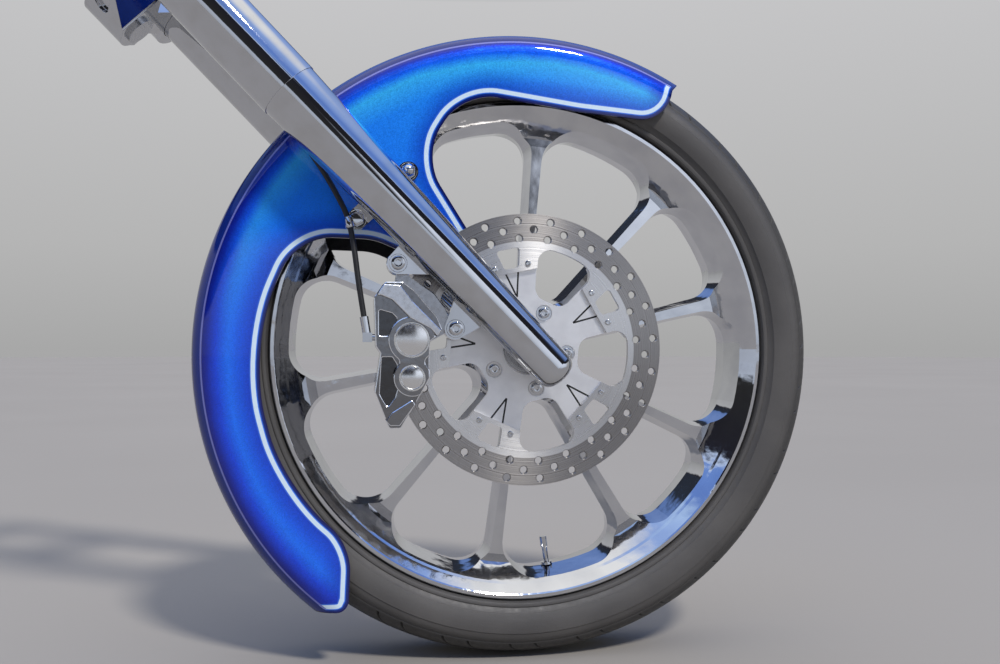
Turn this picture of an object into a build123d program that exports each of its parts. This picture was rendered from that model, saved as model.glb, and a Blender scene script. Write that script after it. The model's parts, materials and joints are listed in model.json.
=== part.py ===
"""Front end of a chopper motorcycle: raked fork, front wheel, fender and front brake.

Millimetres. +X is the motorcycle's forward direction, +Y its left side, +Z up. The origin lies on the
steering stem's axis, on the top face of the lower clamp. The wheel rolls about the axle, along Y.
Wheel pieces are drawn in a wheel frame: origin at the wheel's centre, its Z axis along the axle
towards the brake side (the motorcycle's right), which is called height below. Leg pieces are drawn in a
leg frame: origin where the axle crosses the leg, Z axis up the leg, X axis forward, Y axis to the left.
A station is a distance up the leg from the axle.
"""
from build123d import *
import math
import os

# Fork geometry
rake = 44.0                  # lean of the legs from vertical, degrees
leg_spacing = 232.0          # between the two legs' axes
tree_offset = 60.0           # stem axis behind the legs' axes
leg_end = 43.0               # from the axle down to the leg's lower end
leg_end_radius = 21.5        # leg's radius at its lower end
leg_end_round = 14.0         # rounding of the lower end
leg_seam = 370.0             # station of the seam below the sleeve
leg_seam_radius = 32.7       # leg's radius at the seam
sleeve_step = 0.7            # how much wider the sleeve is than the leg at the seam
leg_top = 852.0              # station of the sleeve's top

# Clamps and stem
lower_clamp_station = 577.0  # underside at the legs
lower_clamp_height = 38.0
upper_clamp_station = 800.0
upper_clamp_height = 30.0
clamp_wall = 12.0            # round the legs
clamp_fillet = 14.0          # between arm and ring, seen from above
clamp_edge = 1.5             # chamfer round the clamps' top faces
arm_end_radius = 29.0        # half the arm's width at the leg
slit_width = 2.5             # of the split that lets a ring grip its leg
boss_radius = 26.0           # round the stem
boss_drop = 19.0             # how far the lower clamp's boss hangs below the legs' rings
arm_slope_end = 62.0         # sideways place where the arm's underside levels out
pocket_place = 34.0          # along the arm, from the stem's axis
pocket_length = 42.0
pocket_width = 20.0
pocket_depth = 5.0
riser_spacing = 89.0         # between the handlebar risers' bolt holes in the upper clamp
riser_hole_radius = 6.5
riser_place = 20.0           # the holes' line in front of the stem's axis
stem_radius = 12.7           # between the clamps
stem_end_radius = 12.0       # inside the clamps' bores
stem_foot_radius = 17.0
stem_foot_height = 4.0
stem_stand_out = 4.0         # stem's end above the upper clamp
stem_nut_radius = 22.0
stem_nut_height = 14.0
cap_height = 5.0
cap_edge_step = 2.0          # how much narrower the cap's flange is than the sleeve
cap_hex_radius = 19.0
cap_hex_height = 9.0

# Wheel
lip_radius = 282.0           # outside of the rim's flange
lip_half_width = 50.0
flange_thickness = 9.0
flange_height = 12.5         # from the bead seat to the flange's top
barrel_wall = 12.5           # from the inside of the barrel to the bead seat
bead_width = 14.0
well_width = 38.0
well_depth = 5.0             # of the rim's well below the bead seat
tyre_wall_height = 68.0      # from the flange's top to the tread
tyre_half_width = 60.0
tyre_wall = 9.0
tread_wall = 12.0
hub_half_length = 69.0
hub_radius = 56.0
hub_edge = 2.0
hub_flare = 22.0             # how far the hub spreads where it runs into the spokes
spoke_face_hub = 33.0        # height of the spoke's face at the hub
spoke_face_rim = 30.0        # the same at the spoke's outer end
spoke_pairs = 5
spoke_pair_angle = 30.0      # direction of the first pair of spokes, degrees
spoke_half_gap = 16.7        # from a pair's middle to each of its spokes, degrees
spoke_half_width_hub = 7.5   # at the wheel's middle plane
spoke_half_width_rim = 11.0
spoke_draft = 8.0            # degrees
narrow_crotch = 17.0         # round inner end of the window within a pair
wide_crotch = 20.0           # the same between two pairs
narrow_corner = 30.0         # window's corners at the barrel
wide_corner = 34.0
foot_length = 21.0           # from the spoke's end to the barrel
valve_angle = -82.0          # degrees
valve_length = 30.0

# Brake disc and carrier
disc_radius = 150.0
disc_thickness = 5.0
disc_ring_width = 37.0
disc_hole_radius = 4.0
disc_hole_chamfer = 0.7
disc_row_inset = 7.5         # from the disc's edge to the outer row of holes
disc_row_spacing = 9.75
disc_rows = 3
disc_holes_per_row = 24
disc_first_hole = 5.0        # degrees
disc_tab_inset = 27.0        # from the ring's inner edge to the tabs' straight ends
carrier_thickness = 5.0
carrier_bore_radius = 28.0
carrier_window_gap = 13.0    # from the bolt circle to the large windows' inner ends
carrier_window_half = 17.0   # half width of a large window at its inner end
carrier_window_spread = 42.0 # the same at its outer end
carrier_window_round = 15.0
arm_window_inset = 22.0
arm_window_half = 14.0       # half width of an arm's small window at the ring
arm_window_round = 4.0
groove_inset = 54.0          # from the ring's inner edge to the point of the V groove
groove_width = 2.0
groove_depth = 1.2
carrier_bolt_circle = 44.0
spot_face_radius = 9.3       # round the carrier's bolts
spot_face_depth = 1.5

# Axle, bearings and spacers
axle_radius = 12.7
running_clearance = 0.05     # radial, bearing on axle
close_clearance = 0.3        # between curved faces that don't move
bearing_outer_radius = 26.0
bearing_width = 15.0
leg_wall_at_axle = 8.0
spacer_wall = 5.3
spacer_gap = 0.5
leg_boss_radius = 20.0
leg_boss_reach = 24.0        # from the leg's axis inward to its flat face
hub_cap_height = 5.0
hub_cap_edge = 2.0

# Fender
fender_gap = 16.0            # from the tread to the crown
fender_centre = (-1.0, -6.0)
fender_side_gap = 9.0        # from the tyre's side to the fender's outer face
fender_thickness = 3.0
fender_crown_half = 45.0
fender_crown_drop = 4.0
fender_shoulder_drop = 28.0
fender_wall_height = 241.0   # from the crown to the side walls' inner ends, before they are trimmed
fender_bolt_station = 231.0
fender_bolt_reach = 38.0     # either side of the leg's axis
bracket_gap = 5.0            # from the fender to the bracket's bar
bracket_thickness = 8.0
bracket_width = 22.0
bracket_boss_radius = 9.0
bracket_pad_radius = 13.0

# Caliper, with depths above the outer pad's back
pad_gap = 1.0
pad_thickness = 8.0
caliper_inner_depth = 21.0
caliper_corner = 3.0
flange_depth = 8.0
body_depth = 20.0
relief_floor = 13.0
land_depth = 24.0
land_waist = 6.0             # rounding between the two raised lands
bar_depth = 28.0
piston_cap_height = 3.0
piston_cap_edge = 0.8
piston_land_wall = 4.5       # round a piston's cap
disc_edge_gap = 6.0
ear_radius = 12.0
lug_thickness = 9.0
lug_edge = 0.5               # how much narrower a lug is than the ear it holds
lug_root_depth = 12.0        # how far a lug's root lies inside the leg

# Brake hose
hose_radius = 3.0
ferrule_radius = 4.6
ferrule_length = 22.0
elbow_size = 10.0
stub_radius = 3.4
union_width = 16.0
union_gap = 1.0              # from the union to the leg's sleeve

leg_y = leg_spacing / 2
sin_rake = math.sin(math.radians(rake))
cos_rake = math.cos(math.radians(rake))
stem_station = lower_clamp_station + lower_clamp_height
axle_x = stem_station * sin_rake + tree_offset * cos_rake
axle_z = -stem_station * cos_rake + tree_offset * sin_rake
sleeve_radius = leg_seam_radius + sleeve_step
bead_radius = lip_radius - flange_height
barrel_radius = bead_radius - barrel_wall
spoke_end_radius = barrel_radius - foot_length
tyre_radius = lip_radius + tyre_wall_height
fender_radius = tyre_radius + fender_gap
fender_half_width = tyre_half_width + fender_side_gap
disc_inner_radius = disc_radius - disc_ring_width
disc_tab_end = disc_inner_radius - disc_tab_inset
spacer_radius = axle_radius + spacer_wall
quarter_bend = 1 - math.sqrt(0.5)   # how far a quarter circle's middle lies inside its corner
low = (Align.CENTER, Align.CENTER, Align.MIN)

wheel_frame = Plane(origin=(axle_x, 0, axle_z), x_dir=(1, 0, 0), z_dir=(0, -1, 0)).location


def leg_frame(y):
    """Frame of the leg at sideways place y, or of the stem's plane at y = 0."""
    return Plane(origin=(axle_x, y, axle_z), x_dir=(cos_rake, 0, sin_rake),
                 z_dir=(-sin_rake, 0, cos_rake)).location


def turned(points):
    """Solid of revolution about Z from a closed outline of (radius, height) points."""
    outline = make_face(Polyline(*[(r, 0, h) for r, h in points], close=True))
    return revolve(outline, Axis.Z, 360)


def polar(radius, angle):
    a = math.radians(angle)
    return (radius * math.cos(a), radius * math.sin(a))


def from_leg(forward, station):
    """Place in the leg frame as (x, y) in the wheel frame."""
    return (forward * cos_rake - station * sin_rake, forward * sin_rake + station * cos_rake)


def to_leg(x, y):
    """Place in the wheel frame as (forward, station) in the leg frame."""
    return (x * cos_rake + y * sin_rake, y * cos_rake - x * sin_rake)


def leg_radius_at(station):
    share = (station + leg_end) / (leg_seam + leg_end)
    return leg_end_radius + (leg_seam_radius - leg_end_radius) * share


def hull_of(circles):
    """Sketch of the tight outline round circles given as (x, y, radius)."""
    edges = []
    for x, y, radius in circles:
        edges += (Pos(x, y) * Circle(radius)).edges()
    return make_hull(edges)


def rounded(points, radius):
    face = make_face(Polyline(*points, close=True))
    return fillet(face.vertices(), radius)


# Tyre
def make_tyre():
    bead_face = lip_half_width - flange_thickness
    bead_inside = bead_face - bead_width
    bead = bead_radius + close_clearance
    lip_top = lip_radius + 2.0
    bulge_radius = lip_radius + 0.45 * tyre_wall_height
    shoulder_radius = tyre_radius - tread_wall
    shoulder = tyre_half_width - 13.0
    inner_bulge = tyre_half_width - tyre_wall
    with BuildSketch(Plane.XZ) as section:
        with BuildLine():
            Polyline((bead, -bead_inside), (bead, -bead_face), (lip_top, -bead_face),
                     (lip_top + 1, -lip_half_width))
            ThreePointArc((lip_top + 1, -lip_half_width), (bulge_radius, -tyre_half_width),
                          (shoulder_radius, -shoulder))
            ThreePointArc((shoulder_radius, -shoulder), (tyre_radius, 0), (shoulder_radius, shoulder))
            ThreePointArc((shoulder_radius, shoulder), (bulge_radius, tyre_half_width),
                          (lip_top + 1, lip_half_width))
            Polyline((lip_top + 1, lip_half_width), (lip_top, bead_face), (bead, bead_face),
                     (bead, bead_inside), (lip_top, bead_face - tyre_wall), (bulge_radius, inner_bulge))
            ThreePointArc((bulge_radius, inner_bulge), (tyre_radius - tread_wall, 0),
                          (bulge_radius, -inner_bulge))
            Polyline((bulge_radius, -inner_bulge), (lip_top, -bead_face + tyre_wall),
                     (bead, -bead_inside))
        make_face()
    return revolve(section.sketch, Axis.Z, 360)


# Wheel: rim, spokes and hub in one piece. Each spoke dips and rises again to the rim
def spoke_window(half_gap, crotch, corner):
    """Window between two spokes at the middle plane, about the X axis: straight sides that follow the
    spokes, a round inner end tangent to both, and rounded corners at the barrel."""
    g = math.radians(half_gap)
    inside = (hub_radius * math.cos(g) + spoke_half_width_hub * math.sin(g),
              hub_radius * math.sin(g) - spoke_half_width_hub * math.cos(g))
    outside = (barrel_radius * math.cos(g) + spoke_half_width_rim * math.sin(g),
               barrel_radius * math.sin(g) - spoke_half_width_rim * math.cos(g))
    lean = math.atan2(outside[1] - inside[1], outside[0] - inside[0])
    meeting = inside[0] - inside[1] / math.tan(lean)
    centre = meeting + crotch / math.sin(lean)
    near = (centre - crotch * math.sin(lean), crotch * math.cos(lean))
    dot = near[0] * math.cos(lean) + near[1] * math.sin(lean)
    reach = -dot + math.sqrt(dot ** 2 - near[0] ** 2 - near[1] ** 2 + barrel_radius ** 2)
    far = (near[0] + reach * math.cos(lean), near[1] + reach * math.sin(lean))
    with BuildSketch() as window:
        with BuildLine():
            Line(near, far)
            ThreePointArc(far, (barrel_radius, 0), (far[0], -far[1]))
            Line((far[0], -far[1]), (near[0], -near[1]))
            ThreePointArc((near[0], -near[1]), (centre - crotch, 0), near)
        make_face()
        fillet(window.vertices().sort_by(Axis.X)[-2:], corner)
    return window.sketch


def rim_section(side):
    """One side of the rim from the spoke's end outwards to the well, as (radius, height) points."""
    face = spoke_face_rim
    lip = lip_half_width
    wall = barrel_wall
    foot_dip = 7.0
    seat_end = lip - flange_thickness - bead_width
    points = [(spoke_end_radius, face), (spoke_end_radius + foot_length / 2, face - foot_dip),
              (barrel_radius + 0.6 * wall, lip - 11), (barrel_radius + 0.8 * wall, lip - 9),
              (lip_radius - 6, lip - 1), (lip_radius - 4.5, lip), (lip_radius - 1, lip),
              (lip_radius, lip - 1), (lip_radius, lip - flange_thickness),
              (bead_radius, lip - flange_thickness), (bead_radius, seat_end),
              (bead_radius - well_depth, well_width / 2)]
    return [(r, side * z) for r, z in points]


def make_wheel():
    seat = hub_half_length - bearing_width
    bore = axle_radius + 3
    flare_top = spoke_face_hub + hub_flare
    flare_middle = (hub_radius + quarter_bend * hub_flare, spoke_face_hub + quarter_bend * hub_flare)
    with BuildSketch(Plane.XZ) as section:
        with BuildLine():
            for side in (1, -1):
                Polyline((bearing_outer_radius, side * seat), (bearing_outer_radius, side * hub_half_length),
                         (hub_radius - hub_edge, side * hub_half_length),
                         (hub_radius, side * (hub_half_length - hub_edge)), (hub_radius, side * flare_top))
                ThreePointArc((hub_radius, side * flare_top), (flare_middle[0], side * flare_middle[1]),
                              (hub_radius + hub_flare, side * spoke_face_hub))
                Line((hub_radius + hub_flare, side * spoke_face_hub),
                     (spoke_end_radius, side * spoke_face_rim))
            Polyline(*rim_section(1), *reversed(rim_section(-1)))
            Polyline((bearing_outer_radius, -seat), (bore, -seat), (bore, seat), (bearing_outer_radius, seat))
        make_face()
    body = revolve(section.sketch, Axis.Z, 360)
    wide_half_gap = 180 / spoke_pairs - spoke_half_gap
    for pair in range(spoke_pairs):
        arm = spoke_pair_angle + pair * 360 / spoke_pairs
        narrow = Rot(0, 0, arm) * spoke_window(spoke_half_gap, narrow_crotch, narrow_corner)
        wide = Rot(0, 0, arm + 180 / spoke_pairs) * spoke_window(wide_half_gap, wide_crotch, wide_corner)
        for sketch in (narrow, wide):
            body -= extrude(sketch, lip_half_width, taper=-spoke_draft)
            body -= extrude(sketch, -lip_half_width, taper=-spoke_draft)
    return body


def make_valve():
    x, y = polar(barrel_radius - close_clearance, valve_angle)
    place = Plane(origin=(x, y, 0), z_dir=(-x, -y, 0)).location
    seat_height = 3.0
    cap_length = 12.0
    seat = Cylinder(6.5, seat_height, align=low)
    stem = Pos(0, 0, seat_height) * Cylinder(3.2, valve_length, align=low)
    cap = Pos(0, 0, seat_height + valve_length - cap_length) * Cylinder(4.2, cap_length, align=low)
    return place * (seat + stem + cap)


def make_bearing(side):
    """Sealed bearing in the hub's end, on the side given by its sign."""
    outer = bearing_outer_radius - close_clearance
    ring = Cylinder(outer, bearing_width) - Cylinder(axle_radius + running_clearance, bearing_width)
    return Pos(0, 0, side * (hub_half_length - bearing_width / 2)) * ring


# Brake disc and its carrier
def large_windows():
    """Large rounded openings between the carrier's arms."""
    inner = carrier_bolt_circle + carrier_window_gap
    outer = disc_inner_radius + 12
    openings = Sketch()
    for pair in range(spoke_pairs):
        middle = spoke_pair_angle + (pair + 0.5) * 360 / spoke_pairs
        points = [(inner, -carrier_window_half), (outer, -carrier_window_spread),
                  (outer, carrier_window_spread), (inner, carrier_window_half)]
        face = make_face(Polyline(*points, close=True)) & Circle(disc_inner_radius)
        near = face.vertices().sort_by(Axis.X)[:2]
        face = fillet(near, carrier_window_round)
        far = face.vertices().sort_by(lambda v: math.hypot(v.X, v.Y))[-2:]
        openings += Rot(0, 0, middle) * fillet(far, carrier_window_round - 1)
    return openings


def groove_half(radius):
    """Half the spread of an arm's V groove, whose lines run on along the sides of its small window."""
    tip = disc_inner_radius - groove_inset
    return arm_window_half * (radius - tip) / groove_inset


def arm_windows():
    """Small openings at the carrier arms' outer ends."""
    inner = disc_inner_radius - arm_window_inset
    openings = Sketch()
    for pair in range(spoke_pairs):
        middle = spoke_pair_angle + pair * 360 / spoke_pairs
        points = [(inner, -groove_half(inner)), (disc_inner_radius, -arm_window_half),
                  (disc_inner_radius, arm_window_half), (inner, groove_half(inner))]
        openings += Rot(0, 0, middle) * rounded(points, arm_window_round)
    return openings


def v_grooves():
    """V-shaped groove on each arm, from near the hub to the disc's tab."""
    tip = disc_inner_radius - groove_inset
    end = disc_tab_end + 2
    half = groove_width / 2
    grooves = Sketch()
    for pair in range(spoke_pairs):
        middle = spoke_pair_angle + pair * 360 / spoke_pairs
        for side in (-1, 1):
            across = side * groove_half(end)
            groove = Polyline((tip, -half), (end, across - half), (end, across + half), (tip, half),
                              close=True)
            grooves += Rot(0, 0, middle) * make_face(groove)
    return grooves


def make_disc():
    base = hub_half_length + carrier_thickness
    ring = Circle(disc_radius) - Circle(disc_inner_radius)
    overlap = disc_inner_radius + 1
    half = disc_tab_end / math.sqrt(3)
    for pair in range(spoke_pairs):
        middle = spoke_pair_angle + pair * 360 / spoke_pairs
        tab = make_face(Polyline((disc_tab_end, -half), (overlap, -1.2 * half), (overlap, 1.2 * half),
                                 (disc_tab_end, half), close=True)) & Circle(overlap)
        ring += Rot(0, 0, middle) * tab
    ring -= large_windows()
    ring -= arm_windows()
    stagger = 180 / disc_holes_per_row
    for row in range(disc_rows):
        radius = disc_radius - disc_row_inset - row * disc_row_spacing
        for index in range(disc_holes_per_row):
            x, y = polar(radius, disc_first_hole + row % 2 * stagger + index * 360 / disc_holes_per_row)
            ring -= Pos(x, y) * Circle(disc_hole_radius)
    disc = extrude(ring, disc_thickness)
    top = disc.faces().sort_by(Axis.Z)[-1].edges()
    hole_rims = [e for e in top if e.is_closed and abs(e.length / math.tau - disc_hole_radius) < 0.01]
    return Pos(0, 0, base) * chamfer(hole_rims, disc_hole_chamfer)


def make_carrier():
    plate = Circle(disc_inner_radius - 1) - Circle(carrier_bore_radius)
    plate -= large_windows()
    plate -= arm_windows()
    carrier = extrude(plate, carrier_thickness)
    carrier -= Pos(0, 0, carrier_thickness - groove_depth) * extrude(v_grooves(), groove_depth + 1)
    for pair in range(spoke_pairs):
        x, y = polar(carrier_bolt_circle, spoke_pair_angle + (pair + 0.5) * 360 / spoke_pairs)
        carrier -= Pos(x, y, carrier_thickness - spot_face_depth) * Cylinder(
            spot_face_radius, spot_face_depth + 1, align=low)
    return Pos(0, 0, hub_half_length) * carrier


def make_hub_cap():
    """Polished cover on the hub's left face, where no disc is bolted."""
    ring = Circle(hub_radius - hub_edge) - Circle(bearing_outer_radius - 4)
    cover = extrude(ring, hub_cap_height)
    rim = cover.faces().sort_by(Axis.Z)[-1].outer_wire().edges()
    return Rot(180, 0, 0) * Pos(0, 0, hub_half_length) * chamfer(rim, hub_cap_edge)


# Axle and spacers, in the wheel frame
axle_floor = leg_y + leg_radius_at(0) - leg_wall_at_axle


def make_axle():
    return Cylinder(axle_radius, 2 * axle_floor)


def make_spacer(side):
    start = hub_half_length + spacer_gap
    end = leg_y - leg_boss_reach
    tube = Circle(spacer_radius) - Circle(axle_radius + close_clearance)
    return Pos(0, 0, start if side > 0 else -end) * extrude(tube, end - start)


# Fork legs, in the leg frame
bracket_bar_back = fender_half_width + bracket_gap
bracket_face = bracket_bar_back + bracket_thickness


def make_leg_body(inward):
    """Tapered lower leg. inward is +1 or -1, the Y direction of the wheel."""
    base = -leg_end
    round_top = base + leg_end_round
    edge = leg_radius_at(round_top)
    bend = quarter_bend * leg_end_round
    with BuildSketch(Plane.XZ) as section:
        with BuildLine():
            Line((0, base), (edge - leg_end_round, base))
            ThreePointArc((edge - leg_end_round, base), (edge - bend, base + bend), (edge, round_top))
            Polyline((edge, round_top), (leg_seam_radius, leg_seam), (0, leg_seam), (0, base))
        make_face()
    body = revolve(section.sketch, Axis.Z, 360)
    inwards = Rot(-90 * inward, 0, 0)
    body += inwards * Cylinder(leg_boss_radius, leg_boss_reach, align=low)
    body += Pos(0, 0, fender_bolt_station) * inwards * Cylinder(
        bracket_pad_radius, leg_y - bracket_face, align=low)
    bore_depth = axle_floor - leg_y
    bore = inwards * Pos(0, 0, -bore_depth) * Cylinder(
        axle_radius + close_clearance, bore_depth + leg_boss_reach + 1, align=low)
    return body - bore


def make_fender_bracket():
    """Bar across the leg's inner side, with a boss at each end on the fender's side. In the leg frame,
    with Y measured from the wheel's middle plane, on the left side."""
    bar = SlotOverall(2 * fender_bolt_reach + bracket_width, bracket_width)
    flat = Plane(origin=(0, bracket_bar_back, fender_bolt_station), x_dir=(1, 0, 0),
                 z_dir=(0, 1, 0)).location
    piece = flat * extrude(bar, bracket_thickness)
    for reach in (-fender_bolt_reach, fender_bolt_reach):
        boss = Cylinder(bracket_boss_radius, bracket_gap, align=(Align.CENTER, Align.CENTER, Align.MAX))
        piece += flat * Pos(reach, 0, 0) * boss
    return piece


def make_fork_cap():
    flange = Cylinder(sleeve_radius - cap_edge_step, cap_height, align=low)
    return flange + Pos(0, 0, cap_height) * extrude(RegularPolygon(cap_hex_radius, 6), cap_hex_height)


# Caliper, in a frame at the disc's rearmost point: x forward, y up
caliper_outline = ((-8, 71), (-20, 55), (-18, 3), (-13, -4), (-19, -45), (-4, -83), (8, -83), (24, -56),
                   (38, -30), (38, 8), (52, 20), (46, 34), (22, 62), (10, 71))
caliper_bar = ((-10, 68), (-18, 56), (-13, 57), (-1, 52), (18, 33), (39, 22), (46, 14), (50, 20), (20, 50),
               (7, 67))
caliper_toe = ((20, -53), (23, -58), (7, -80), (-3, -80), (-8, -75), (-1, -66))
caliper_reliefs = (((-15, 42), (-1, 38), (4, 33), (-2, 18), (-6, 14), (-15, 14)),
                   ((-12, -8), (-1, -8), (4, -16), (0, -26), (5, -40), (2, -51), (-6, -61), (-14, -47)))
caliper_ears = ((5.0, 91.0), (66.0, 22.0))
caliper_arch = ((20, 76), (44, 60), (56, 44))             # flange's edge between the ears
caliper_flange_root = ((40, 8), (0, 60))
lug_roots = ((176.0, 130.0), (98.0, 58.0))                # stations of each lug's root on the leg
pistons = ((19.5, 10.0, 20.0), (20.0, -30.0, 15.0))       # x, y, radius
pad_outline = ((2, 30), (0, 0), (2, -45), (32, -45), (38, 30))
disc_back = hub_half_length + carrier_thickness
disc_front = disc_back + disc_thickness
inner_pad_back = disc_back - pad_gap - pad_thickness
outer_pad_back = disc_front + pad_gap + pad_thickness
caliper_place = Pos(-disc_radius, 0, 0)


def make_caliper_outer():
    plan = rounded(caliper_outline, caliper_corner)
    body = extrude(plan, body_depth)
    for points in caliper_reliefs:
        body -= Pos(0, 0, relief_floor) * extrude(rounded(points, 2), body_depth)
    (x1, y1, r1), (x2, y2, r2) = pistons
    lands = Pos(x1, y1) * Circle(r1 + piston_land_wall) + Pos(x2, y2) * Circle(r2 + piston_land_wall)
    waist = ((x1 + x2) / 2, (y1 - r1 + y2 + r2) / 2)
    cusps = lands.vertices().sort_by(lambda v: abs(v.Y - waist[1]))[:2]
    body += extrude(fillet(cusps, land_waist) & plan, land_depth)
    body += extrude(rounded(caliper_bar, 1.5), bar_depth)
    body += extrude(rounded(caliper_toe, 1.5), land_depth)
    bridge = plan - Pos(disc_radius, 0) * Circle(disc_radius + disc_edge_gap)
    span = outer_pad_back - inner_pad_back
    body += Pos(0, 0, -span) * extrude(bridge, span)
    flange = make_face(Polyline(caliper_ears[0], *caliper_arch, caliper_ears[1], *caliper_flange_root,
                                close=True))
    for x, y in caliper_ears:
        flange += Pos(x, y) * Circle(ear_radius)
    body += extrude(flange, flange_depth)
    return caliper_place * Pos(0, 0, outer_pad_back) * body


def make_caliper_inner():
    half = extrude(rounded(caliper_outline, caliper_corner), caliper_inner_depth)
    return caliper_place * Pos(0, 0, inner_pad_back - caliper_inner_depth) * half


def make_piston_caps():
    caps = []
    for x, y, radius in pistons:
        cap = Cylinder(radius - 1, piston_cap_height, align=low)
        cap = chamfer(cap.faces().sort_by(Axis.Z)[-1].edges(), piston_cap_edge)
        caps.append(caliper_place * Pos(x, y, outer_pad_back + land_depth) * cap)
    return caps


def make_pads():
    shape = Pos(-disc_radius, 0) * rounded(pad_outline, 4) & Circle(disc_radius)
    return [Pos(0, 0, base) * extrude(shape, pad_thickness)
            for base in (inner_pad_back, disc_front + pad_gap)]


def make_leg_lugs():
    """Two lugs that carry the caliper, behind the right leg, in the wheel frame."""
    lugs = Part()
    back = outer_pad_back + flange_depth
    for (x, y), stations in zip(caliper_ears, lug_roots):
        circles = [(x - disc_radius, y, ear_radius - lug_edge)]
        for station in stations:
            root = from_leg(-leg_radius_at(station) + lug_root_depth, station)
            circles.append((*root, 4))
        lugs += Pos(0, 0, back) * extrude(hull_of(circles), lug_thickness)
    return lugs


# Clamps, in the stem plane's leg frame
def clamp_plan():
    """One arm and ring on each side of the stem's boss, seen down the stem."""
    ring_radius = sleeve_radius + clamp_wall
    plan = Pos(-tree_offset, 0) * Circle(boss_radius)
    for side in (-1, 1):
        plan += hull_of([(-tree_offset, 0, boss_radius - 1), (0, side * leg_y, arm_end_radius)])
        plan += Pos(0, side * leg_y) * Rot(0, 0, side * 90) * Circle(ring_radius)
    corners = []
    for v in plan.vertices():
        on_ring = abs(math.hypot(v.X, abs(v.Y) - leg_y) - ring_radius) < 0.01
        if on_ring and abs(v.Y) < leg_y:
            corners.append(v)
    plan = fillet(corners, clamp_fillet)
    for side in (-1, 1):
        plan -= Pos(0, side * leg_y) * Circle(sleeve_radius + close_clearance)
        plan -= Pos(0, side * (leg_y + ring_radius)) * Rectangle(slit_width, 2 * ring_radius - sleeve_radius)
    return plan - Pos(-tree_offset, 0) * Circle(stem_end_radius + close_clearance)


def make_clamp(station, height):
    clamp = extrude(clamp_plan(), height)
    rim = clamp.faces().sort_by(Axis.Z)[-1].outer_wire().edges()
    return Pos(0, 0, station) * chamfer(rim, clamp_edge)


def make_lower_clamp():
    """The arms slope up from the boss to the rings and have a shallow pocket in their rear faces."""
    base = lower_clamp_station - boss_drop
    clamp = make_clamp(base, lower_clamp_height + boss_drop)
    side_reach = leg_y + 2 * sleeve_radius
    span = math.hypot(tree_offset, leg_y)
    for side in (-1, 1):
        under = Polyline((0, side * boss_radius, base - 1), (0, side * boss_radius, base + 2),
                         (0, side * arm_slope_end, lower_clamp_station),
                         (0, side * side_reach, lower_clamp_station), (0, side * side_reach, base - 1),
                         close=True)
        clamp -= extrude(make_face(under), 4 * tree_offset, dir=(1, 0, 0), both=True)
        along = (tree_offset / span, side * leg_y / span, 0)
        out = (-leg_y / span, side * tree_offset / span, 0)
        centre = (-tree_offset + along[0] * pocket_place + out[0] * boss_radius,
                  along[1] * pocket_place + out[1] * boss_radius, lower_clamp_station + pocket_width * 0.75)
        pocket = RectangleRounded(pocket_length, pocket_width, pocket_width / 2 - 1)
        flat = Plane(origin=centre, x_dir=along, z_dir=out).location
        clamp -= flat * extrude(pocket, pocket_depth, both=True)
    return clamp


def make_upper_clamp():
    clamp = make_clamp(upper_clamp_station, upper_clamp_height)
    for side in (-1, 1):
        place = Pos(riser_place - tree_offset, side * riser_spacing / 2, upper_clamp_station)
        clamp -= place * Cylinder(riser_hole_radius, upper_clamp_height, align=low)
    return clamp


stem_top = upper_clamp_station + upper_clamp_height + stem_stand_out


def make_stem():
    """Heights are measured from the underside of the lower clamp's boss."""
    base = lower_clamp_station - boss_drop
    journal_foot = stem_station - base
    journal_top = upper_clamp_station - base
    outline = [(0, -stem_foot_height), (stem_foot_radius, -stem_foot_height), (stem_foot_radius, 0),
               (stem_end_radius, 0), (stem_end_radius, journal_foot), (stem_radius, journal_foot),
               (stem_radius, journal_top), (stem_end_radius, journal_top),
               (stem_end_radius, stem_top - base), (0, stem_top - base)]
    return Pos(-tree_offset, 0, base) * turned(outline)


def make_stem_nut():
    base = upper_clamp_station + upper_clamp_height
    nut = extrude(RegularPolygon(stem_nut_radius, 6), stem_nut_height)
    nut -= Cylinder(stem_end_radius + close_clearance, stem_stand_out + close_clearance, align=low)
    return Pos(-tree_offset, 0, base) * nut


# Fender, in the wheel frame. Columns: x forward, y up, corner radius
fender_trim = (
    (215, 341, 0),
    (170, 297, 6),
    (159, 260, 36),
    (60, 268, 250),
    (-72, 286, 60),
    (-117, 212, 60),
    (-58, 118, 16),
    (-104, 92, 24),
    (-170, 120, 60),
    (-252, 122, 56),
    (-304, 0, 220),
    (-264, -149, 200),
    (-193, -211, 60),
    (-196, -284, 14),
    (-280, -287, 0),
)


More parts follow.
